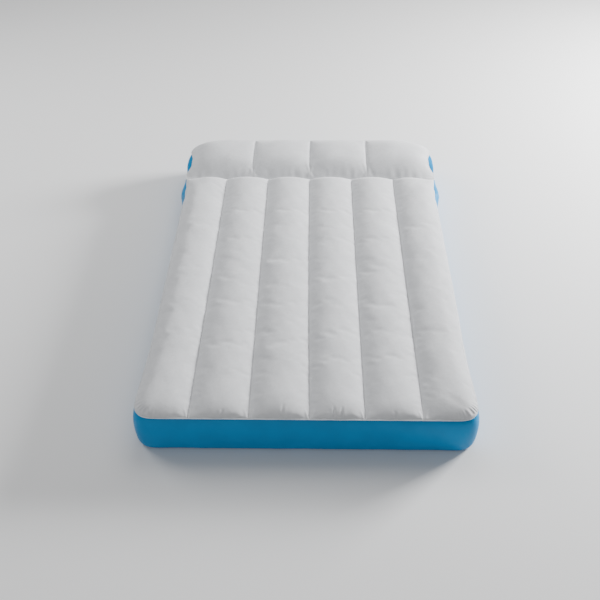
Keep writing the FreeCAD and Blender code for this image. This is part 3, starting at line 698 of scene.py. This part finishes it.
def inflate(obj, pinned):
    """Blow a skin up as cloth: pinned points stay, and no point moves further than MOST_MOVED."""
    start = get_points(obj)
    group = obj.vertex_groups.new(name="pinned")
    group.add([int(i) for i in np.flatnonzero(pinned)], 1.0, "REPLACE")
    cloth = obj.modifiers.new("Cloth", "CLOTH")
    settings = cloth.settings
    settings.quality = 4
    settings.mass = 0.3
    settings.use_pressure = True
    settings.uniform_pressure_force = 4
    settings.shrink_min = -0.003
    settings.tension_stiffness = 40
    settings.compression_stiffness = 40
    settings.bending_stiffness = 2
    settings.vertex_group_mass = "pinned"
    settings.effector_weights.gravity = 0
    cloth.collision_settings.use_collision = False
    cloth.point_cache.frame_start = 1
    cloth.point_cache.frame_end = INFLATION_FRAMES
    for number in range(1, INFLATION_FRAMES + 1):
        bpy.context.scene.frame_set(number)
    apply_modifiers(obj)
    bpy.context.scene.frame_set(1)
    moved = get_points(obj) - start
    distance = np.linalg.norm(moved, axis=1)
    allowed = MOST_MOVED * np.tanh(distance / MOST_MOVED)
    moved *= (allowed / np.maximum(distance, 1e-9))[:, None]
    set_points(obj, start + moved)


def valley_pins(skin, obj, width):
    """True where the cloth is held: in the valleys, at the junction and round the rim."""
    points = get_points(obj)
    s = (points[:, 1] - JUNCTION_Y) * skin.end
    pinned = skin.crease(points[:, 0], s, width) > 0.5
    pinned |= s < 2 * MM
    pinned[skin.grid_count:] = True
    return pinned


# Pleats at the foot, beside and in each valley: side, how far they reach from the foot, and height.
PLEATS = [(-1, 44 * MM, 1.7 * MM), (1, 52 * MM, 1.8 * MM), (0, 40 * MM, -2.2 * MM)]
PLEAT_WIDTH = 4.5 * MM

# Single tucks in the foot's edge: x there, how far they reach, and how much they lean as they leave it.
FOOT_TUCKS = [(-85 * MM, 62 * MM, 0.06), (100 * MM, 50 * MM, -0.06), (124 * MM, 48 * MM, 0.1),
              (-300 * MM, 30 * MM, 0.1), (318 * MM, 26 * MM, -0.2)]
FOOT_TUCK_DEPTH = 3.4 * MM
FOOT_TUCK_WIDTH = 4 * MM
TUCK_SHOULDER_HEIGHT = 1.2 * MM
TUCK_SHOULDER_WIDTH = 11 * MM

PUCKER_HEIGHT = 1.3 * MM
PUCKER_WAVES = 34
FOLD_DEPTH = 1.2 * MM
FOLD_WIDTH = 24 * MM


def valley_creases(x, s, flat):
    """A sharp crease in each valley, with small wrinkles beside it, over broad unevenness of the film."""
    y = JUNCTION_Y - s
    from_foot = MAIN.length - s
    height = -CREASE_DEPTH * MAIN.crease(x, s, CREASE_WIDTH) * smooth_step(from_foot, 8 * MM, 40 * MM)
    beside = MAIN.crease(x, s, 26 * MM) - MAIN.crease(x, s, 9 * MM)
    height += 0.7 * MM * beside * ripple(0.25 * x, y, 42 * MM, 3)
    height += 0.9 * MM * ripple(x, y, 240 * MM, 5)
    height += 0.35 * MM * ripple(x, y, 75 * MM, 6)
    return height * flat


def foot_pleats(x, s):
    """The film gathers in pleats where the channels are welded down at the foot."""
    from_foot = MAIN.length - s
    height = np.zeros_like(x)
    for i in range(len(MAIN.valleys)):
        for side, reach, lift in PLEATS:
            line = MAIN.valley_x(i, s) + side * (7 * MM + 0.25 * from_foot)
            strength = window(from_foot, -2 * MM, 3 * MM, 14 * MM, reach)
            height += lift * bump(x, line, PLEAT_WIDTH) * strength
    for centre, reach, lean in FOOT_TUCKS:
        line = centre + lean * from_foot
        strength = window(from_foot, -2 * MM, 3 * MM, 16 * MM, reach)
        height -= FOOT_TUCK_DEPTH * bump(x, line, FOOT_TUCK_WIDTH) * strength
        height += TUCK_SHOULDER_HEIGHT * bump(x, line, TUCK_SHOULDER_WIDTH) * strength
    gather = window(from_foot, 0, 5 * MM, 5 * MM, 38 * MM)
    height += 0.8 * MM * ripple(x, 0.15 * (JUNCTION_Y - s), 30 * MM, 8) * gather
    return height


def corner_puckers(x, s):
    """Fine radial puckers round the two foot corners."""
    dx = np.maximum(np.abs(x) - (MAIN.half - SIDE_REACH), 0) / SIDE_REACH
    ds = np.maximum(s - (MAIN.length - FOOT_REACH), 0) / FOOT_REACH
    around = np.arctan2(ds, dx)
    out = np.hypot(dx, ds)
    in_corner = (dx > 0) * (ds > 0) * np.sin(2 * around) ** 0.7
    radial = np.sin(PUCKER_WAVES * around + 1.3 * np.sin(9 * around + np.sign(x)))
    return PUCKER_HEIGHT * radial * in_corner * window(out, 0.66, 0.9, 0.99, 1.05)


def corner_fold(x, s):
    """One soft fold that runs in from the right foot corner."""
    from_foot = MAIN.length - s
    from_side = MAIN.half - np.abs(x)
    fold = (x > 0) * bump(from_side - 1.15 * from_foot, 14 * MM, FOLD_WIDTH)
    return -FOLD_DEPTH * fold * window(from_foot, 12 * MM, 45 * MM, 60 * MM, 130 * MM)


def main_details(x, y):
    """Creases, pleats and puckers of the main skin, as heights in metres."""
    s = JUNCTION_Y - y
    flat = MAIN.side_roll(x, s) * np.clip(s / FRONT_REACH, 0, 1)
    return valley_creases(x, s, flat) + foot_pleats(x, s) + corner_puckers(x, s) + corner_fold(x, s)


def pillow_details(x, y):
    """Creases, unevenness and the gathers at the front of the pillow's skin."""
    s = y - JUNCTION_Y
    flat = PILLOW.side_roll(x, s) * smooth_step(s, 10 * MM, 60 * MM)
    beside = PILLOW.crease(x, s, 40 * MM) - PILLOW.crease(x, s, 12 * MM)
    height = -CREASE_DEPTH * PILLOW.crease(x, s, PILLOW_CREASE_WIDTH)
    height += 0.8 * MM * beside * ripple(0.3 * x, y, 48 * MM, 11)
    height += 1.2 * MM * ripple(x, y, 190 * MM, 12)
    gather = window(s, 0, 8 * MM, 8 * MM, 70 * MM)
    return height * flat + 0.5 * MM * ripple(x, 0.15 * y, 40 * MM, 13) * gather


def finish_skin(obj, details):
    """Refine the mesh, then raise or sink each point along its normal by its share of the details."""
    subdivide(obj, FINE_LEVELS)
    points = get_points(obj)
    normals = get_normals(obj)
    points += normals * details(points[:, 0], points[:, 1])[:, None]
    set_points(obj, points)


MAIN = MainSkin()
PILLOW = PillowSkin()


def main_top():
    obj = MAIN.build("main_top")
    face_up(obj)
    inflate(obj, valley_pins(MAIN, obj, 2 * MM))
    finish_skin(obj, main_details)
    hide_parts("top_sheet")


def pillow_top():
    obj = PILLOW.build("pillow_top")
    face_up(obj)
    inflate(obj, valley_pins(PILLOW, obj, 3 * MM))
    finish_skin(obj, pillow_details)
    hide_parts("pillow_sheet")


# ---------------------------------------------------------------- the blue side walls

WALL_COLUMNS = 900
WALL_LOOPS = 46
BELLY_Z = 84 * MM                            # where the wall bulges most
SHOULDER_RISE = 44 * MM                      # the bulge climbs by this beside the pinch
FLOOR_Z = 1.2 * MM
UNDER_INSET = 19 * MM
UNDER_POWER = 0.65
FULL_CORNER = 2 * MM                         # the foot corners bulge this much more


def wall_section(t, top_z, belly_z, belly_out):
    """Offset from the seam line and height of one wall loop; t runs from 0 at the top to 1 underneath."""
    angle = (t - 0.5) * math.pi
    if t < 0.5:
        rise = top_z - belly_z
        draw_in = belly_out * (1 - math.cos(angle))
    else:
        rise = belly_z - FLOOR_Z
        draw_in = UNDER_INSET * (1 - math.cos(angle) ** UNDER_POWER)
    return belly_out - draw_in, belly_z - math.sin(angle) * rise


def side_band():
    """The tall blue wall right round, with its valve hole in the head end."""
    ring, normals = seam_ring(WALL_COLUMNS)
    x, y = ring.T
    pinched = move_sides(x, main_pinch(y))
    seam = np.stack([move_sides(pinched, hourglass(pinched, y)), y], axis=-1)
    shoulder = bump(y, PINCH_Y, 80 * MM) * at_side(ring)
    waist = bump(y, JUNCTION_Y + 36 * MM, 38 * MM) * at_side(ring)
    foot_corner = smooth_step(np.abs(x), 0.75 * SEAM_X, 0.95 * SEAM_X)
    foot_corner *= smooth_step(-y, 0.82 * SEAM_Y, 0.95 * SEAM_Y)
    belly_z = BELLY_Z + SHOULDER_RISE * shoulder
    belly_out = (WALL_X - SEAM_X) + np.abs(x) - np.abs(pinched)
    belly_out += 1.5 * MM * shoulder - 9 * MM * waist + FULL_CORNER * foot_corner
    loops = []
    for t in np.linspace(0, 1, WALL_LOOPS + 1):
        offset, z = wall_section(t, SEAM_Z - 0.5 * MM, belly_z, belly_out)
        wave = 1.1 * MM * ripple(x, y + 0.2 * z, 160 * MM, 21) * math.sin(math.pi * t)
        tug = 0.8 * MM * ripple(x, y, 34 * MM, 22) * math.exp(-9 * t) * smooth_step(t, 0, 1)
        loops.append(np.column_stack([seam + normals * (offset + wave + tug)[:, None], z]))
    faces = grid_faces(len(loops), len(ring), wrap=True)
    points, faces = open_valve_hole(np.concatenate(loops), faces)
    obj = make_piece("side_band", points, faces, MATERIALS["blue_vinyl"])
    face_outward(obj)
    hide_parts("side_wall")


HOLE_RADIUS = 28.6 * MM
HOLE_CORE = 22 * MM                          # cells nearer to the valve's middle than this are cut out
HOLE_REACH = 62 * MM                         # cells nearer than this are drawn towards the round hole
FLAT_REACH = (36 * MM, 74 * MM)              # the film is flat inside the first and free outside the second
FLAT_WALL_Y = WALL_Y - 0.4 * MM


def open_valve_hole(points, faces):
    """Cut the round valve hole and lay the film flat against the valve's flange."""
    dx = points[:, 0] - VALVE.x
    dz = points[:, 2] - VALVE.z
    size = np.maximum(abs(dx), abs(dz))
    near = (points[:, 1] > 0.8 * SEAM_Y) & (size < HOLE_REACH)
    core = near & (size < HOLE_CORE)
    moving = near & ~core
    radius = np.maximum(np.hypot(dx, dz), 1e-9)
    out = np.clip((size - HOLE_CORE) / (HOLE_REACH - HOLE_CORE), 0, 1)
    scale = out + (1 - out) * HOLE_RADIUS / radius
    moved = points.copy()
    moved[moving, 0] = (VALVE.x + scale * dx)[moving]
    moved[moving, 2] = (VALVE.z + scale * dz)[moving]
    from_valve = np.hypot(moved[:, 0] - VALVE.x, moved[:, 2] - VALVE.z)
    flat = (1 - smooth_step(from_valve, *FLAT_REACH)) * (points[:, 1] > 0)
    moved[:, 1] += (FLAT_WALL_Y - moved[:, 1]) * flat
    kept = [face for face in faces if not core[list(face)].any()]
    used = np.zeros(len(points), bool)
    for face in kept:
        used[list(face)] = True
    renumber = np.cumsum(used) - 1
    return moved[used], [tuple(int(renumber[i]) for i in face) for face in kept]


def pillow_line(count, lean):
    """The pillow's seam line and its normals: up one side, across the head and back down the other.

    lean is 1 for the top of the pillow's wall and 0 for its foot.
    """
    half = SEAM_X - lean * PILLOW_SIDE_LEAN
    side, end = half_outline(half, SEAM_Y - lean * PILLOW_LEAN - JUNCTION_Y, (PILLOW_SIDE_REACH, HEAD_REACH))
    right = np.concatenate([side, end[::-1][1:]])
    loop = np.concatenate([right, right[::-1][1:] * [-1, 1]])
    points = along(loop, np.linspace(0, 1, count + 1))
    points[:, 1] += JUNCTION_Y
    return points, outward(points, closed=False)


PILLOW_BAND_COLUMNS = 520
PILLOW_BAND_LOOPS = 15


def pillow_band():
    """The low blue wall that lifts the pillow, fading out at the junction."""
    foot_line, _ = pillow_line(PILLOW_BAND_COLUMNS, lean=0)
    line, normals = pillow_line(PILLOW_BAND_COLUMNS, lean=1)
    x, y = line.T
    top_z = PILLOW.seam_z(y - JUNCTION_Y)
    inward = pillow_pinch(y) * at_side(line)
    belly = 3 * MM + 7 * MM * window(y, JUNCTION_Y + 20 * MM, JUNCTION_Y + 95 * MM,
                                     SEAM_Y - 195 * MM, SEAM_Y - 105 * MM)
    loops = []
    for t in np.linspace(0, 1, PILLOW_BAND_LOOPS):
        round_out = math.sin(math.pi * t)
        offset = (belly + 0.5 * MM * ripple(x, y, 60 * MM, 31)) * round_out
        plan = line + (foot_line - line) * t + normals * offset[:, None]
        plan[:, 0] = move_sides(plan[:, 0], inward * (1 - smooth_step(t, 0, 0.4)))
        loops.append(np.column_stack([plan, top_z + (SEAM_Z - top_z) * t]))
    obj = make_piece("pillow_band", loops, grid_faces(len(loops), len(line)), MATERIALS["blue_vinyl"])
    face_outward(obj)
    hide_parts("pillow_wall")


def closed_disc(loops):
    """Faces of a disc made of ring-shaped loops, from its outline in to its middle."""
    around = len(loops[0])
    faces = grid_faces(len(loops), around, wrap=True)
    faces.append(tuple(range((len(loops) - 1) * around, len(loops) * around)))
    return faces


def pillow_base():
    """The film between the pillow and the main chamber, inside the pillow's wall."""
    inset = 6 * MM
    rings = 25
    outline, normals = pillow_line(260, lean=0)
    outline = outline - normals * inset
    outline = outline[outline[:, 1] > JUNCTION_Y + inset]
    x = np.linspace(outline[-1, 0], outline[0, 0], 60)[1:-1]
    front = np.stack([x, np.full(len(x), JUNCTION_Y + inset)], axis=-1)
    ring = np.concatenate([outline, front])
    centre = np.array([0, (JUNCTION_Y + SEAM_Y) / 2])
    loops = []
    for k in range(rings):
        loop = centre + (ring - centre) * (1 - k / (rings + 1))
        sag = 2 * MM * ripple(loop[:, 0], loop[:, 1], 180 * MM, 51) * smooth_step(k, 0, 6)
        loops.append(np.column_stack([loop, middle("pillow_floor").z + sag]))
    obj = make_piece("pillow_base", loops, closed_disc(loops), MATERIALS["inner_film"])
    face_up(obj)
    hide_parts("pillow_floor")


def floor_line(count):
    """The line where the wall's foot turns under, with its outward normals."""
    ring, normals = seam_ring(count)
    ring[:, 0] = move_sides(ring[:, 0], hourglass(ring[:, 0], ring[:, 1]))
    return ring + normals * (WALL_X - SEAM_X - UNDER_INSET), normals


def bottom_skin():
    """The underside: flat on the floor between shallow tucks where the inner strips are welded."""
    rings = 120
    outline, _ = floor_line(WALL_COLUMNS // 3)
    loops = []
    for k in range(rings + 1):
        loop = outline * (1 - k / (rings + 2))
        tuck = np.max([bump(loop[:, 0], x, 12 * MM) for x in CHANNEL_VALLEYS], axis=0)
        inside = smooth_step(k / rings, 0, 0.08) * (np.abs(loop[:, 1]) < 0.92 * SEAM_Y)
        loops.append(np.column_stack([loop, FLOOR_Z + 5 * MM * tuck * inside]))
    obj = make_piece("bottom_skin", loops, closed_disc(loops), MATERIALS["blue_vinyl"])
    face_down(obj)
    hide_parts("bottom_sheet")


# ---------------------------------------------------------------- welded seams

def bead(name, node, line, normals, z, width, thickness, closed):
    """A flattened weld bead along a line in plan, in place of a CAD node."""
    sides = 10
    loops = []
    for k in range(sides):
        angle = 2 * math.pi * k / sides
        plan = line + normals * (width / 2 * math.cos(angle))
        loops.append(np.column_stack([plan, z + thickness / 2 * math.sin(angle)]))
    columns = len(line)
    faces = []
    for k in range(sides):
        this, following = k * columns, (k + 1) % sides * columns
        for i in range(columns if closed else columns - 1):
            j = (i + 1) % columns
            faces.append((this + i, this + j, following + j, following + i))
    if not closed:
        faces.append(tuple(k * columns for k in range(sides)))
        faces.append(tuple(k * columns + columns - 1 for k in reversed(range(sides))))
    # The weld material's pale colour is partly painted highlight.
    obj = make_piece(name, loops, faces, MATERIALS["weld_edge"])
    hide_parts(node)


def top_weld():
    """The edge between the grey top and the blue wall, right round; its pale tone is partly painted highlight.
    """
    ring, normals = seam_ring(WALL_COLUMNS)
    x, y = ring.T
    seam = np.stack([move_sides(x, main_pinch(y) + hourglass(x, y)), y], axis=-1)
    z = SEAM_Z - 0.6 * MM + 0.3 * MM * ripple(x, y, 55 * MM, 41)
    bead("top_weld", "top_seam", seam + normals * 1.6 * MM, normals, z, 6.5 * MM, 2.8 * MM, closed=True)


def bottom_weld():
    """The edge between the wall and the underside, at the floor."""
    line, normals = floor_line(WALL_COLUMNS)
    z = np.full(len(line), 1.6 * MM)
    bead("bottom_weld", "bottom_seam", line, normals, z, 7 * MM, 2.2 * MM, closed=True)


def pillow_weld():
    """The edge between the pillow and its wall, where the wall stands high enough to have one; its pale tone is
    partly painted highlight.
    """
    line, normals = pillow_line(420, lean=1)
    lifted = line[:, 1] > JUNCTION_Y + 105 * MM
    line, normals = line[lifted], normals[lifted]
    x, y = line.T
    seam = np.stack([move_sides(x, pillow_pinch(y) * at_side(line)), y], axis=-1)
    z = PILLOW.seam_z(y - JUNCTION_Y)
    bead("pillow_weld", "pillow_seam", seam + normals * 1 * MM, normals, z, 5.5 * MM, 2.4 * MM, closed=False)


def junction_weld():
    """The weld across the mattress, down in the valley between the channels and the pillow."""
    x = np.linspace(-SEAM_X + 3 * MM, SEAM_X - 3 * MM, 260)
    line = np.stack([x, np.full(len(x), JUNCTION_Y)], axis=-1)
    across = np.tile([0.0, 1.0], (len(x), 1))
    z = SEAM_Z - 0.5 * MM + 0.4 * MM * ripple(x, 0 * x, 45 * MM, 42)
    bead("junction_weld", "pillow_front_seam", line, across, z, 9 * MM, 2.2 * MM, closed=False)


# ---------------------------------------------------------------- CAD parts that keep their shape

INNER_STRIPS = BEAMS + PILLOW_BEAMS

# The valve's pieces: the material of each, and how wide its softened edges are.
VALVE_PARTS = {
    "valve_base": ("valve_plastic", 0.35 * MM),
    "valve_collar": ("valve_plastic", 0.35 * MM),
    "valve_cap": ("cap_plastic", 0.35 * MM),
    "flap_keeper": ("valve_plastic", 0.2 * MM),
    "valve_seal": ("seal_rubber", 0.2 * MM),
    "valve_flap": ("seal_rubber", 0.15 * MM),
}


def dress(node, finish):
    """Give a kept CAD part its material."""
    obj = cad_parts[node]
    for entry in obj.material_slots:
        entry.material = MATERIALS[finish]
    return obj


def soften_edges(obj, width):
    bevel = obj.modifiers.new("Softened edges", "BEVEL")
    bevel.width = width
    bevel.segments = 2
    bevel.limit_method = "ANGLE"
    bevel.angle_limit = math.radians(40)


def inner_strips():
    for node in INNER_STRIPS:
        dress(node, "inner_film")


def valve():
    for node, (finish, edge) in VALVE_PARTS.items():
        soften_edges(dress(node, finish), edge)


# ---------------------------------------------------------------- floor, light and camera

FLOOR_HALF = 14


def floor():
    corners = [(-FLOOR_HALF, -FLOOR_HALF, 0), (FLOOR_HALF, -FLOOR_HALF, 0),
               (FLOOR_HALF, FLOOR_HALF, 0), (-FLOOR_HALF, FLOOR_HALF, 0)]
    mesh = bpy.data.meshes.new("studio_floor")
    mesh.from_pydata(corners, [], [(0, 1, 2, 3)])
    mesh.materials.append(MATERIALS["studio_floor"])
    obj = bpy.data.objects.new("studio_floor", mesh)
    bpy.context.scene.collection.objects.link(obj)


# Soft boxes: name, place, the point it faces, its two sizes, and its power in watts. The key is low and far to
# the right, so that it shades the left flank of every channel as in the photograph.
LIGHTS = [
    ("key", (4.0, 1.8, 1.55), (0, -0.1, 0.1), (1.4, 1.0), 590),
    ("overhead", (0.4, 1.8, 3.6), (0, 0.2, 0.1), (3.0, 2.4), 60),
    ("left", (-3.4, 1.4, 2.6), (0, 0.3, 0.1), (1.8, 1.4), 72),
    ("fill", (-0.9, -3.6, 0.6), (0, -0.9, 0.1), (3.0, 0.8), 12),
]
SKY_COLOR = (0.97, 0.985, 1.0, 1)
SKY_STRENGTH = 0.30


def area_light(name, place, target, size, power):
    light = bpy.data.lights.new(name, "AREA")
    light.shape = "RECTANGLE"
    light.size, light.size_y = size
    light.energy = power
    obj = bpy.data.objects.new(name, light)
    obj.location = place
    obj.rotation_euler = (Vector(target) - Vector(place)).to_track_quat("-Z", "Y").to_euler()
    bpy.context.scene.collection.objects.link(obj)


def lights():
    for light in LIGHTS:
        area_light(*light)
    world = bpy.data.worlds.new("studio")
    world.use_nodes = True
    background = world.node_tree.nodes["Background"]
    background.inputs["Color"].default_value = SKY_COLOR
    background.inputs["Strength"].default_value = SKY_STRENGTH
    bpy.context.scene.world = world


CAMERA_PLACE = Vector((0.028, -2.81, 2.336))
CAMERA_PITCH = math.radians(41.0)
CAMERA_YAW = math.radians(-1.4)
CAMERA_ROLL = math.radians(-0.6)
CAMERA_LENS = 48.1
SENSOR_WIDTH = 36


def camera():
    """The photograph's view: pitch looks down, yaw turns right of +y, and roll tips the frame."""
    forward = Vector((math.sin(CAMERA_YAW) * math.cos(CAMERA_PITCH),
                      math.cos(CAMERA_YAW) * math.cos(CAMERA_PITCH), -math.sin(CAMERA_PITCH)))
    right = Vector((math.cos(CAMERA_YAW), -math.sin(CAMERA_YAW), 0))
    up = right.cross(forward)
    rolled_right = math.cos(CAMERA_ROLL) * right + math.sin(CAMERA_ROLL) * up
    rolled_up = math.cos(CAMERA_ROLL) * up - math.sin(CAMERA_ROLL) * right
    data = bpy.data.cameras.new("camera")
    data.lens = CAMERA_LENS
    data.sensor_width = SENSOR_WIDTH
    obj = bpy.data.objects.new("camera", data)
    turn = Matrix((rolled_right, rolled_up, -forward)).transposed()
    obj.matrix_world = Matrix.Translation(CAMERA_PLACE) @ turn.to_4x4()
    bpy.context.scene.collection.objects.link(obj)
    bpy.context.scene.camera = obj


main_top()
pillow_top()
side_band()
pillow_band()
pillow_base()
bottom_skin()
top_weld()
bottom_weld()
pillow_weld()
junction_weld()
inner_strips()
valve()
floor()
lights()
camera()
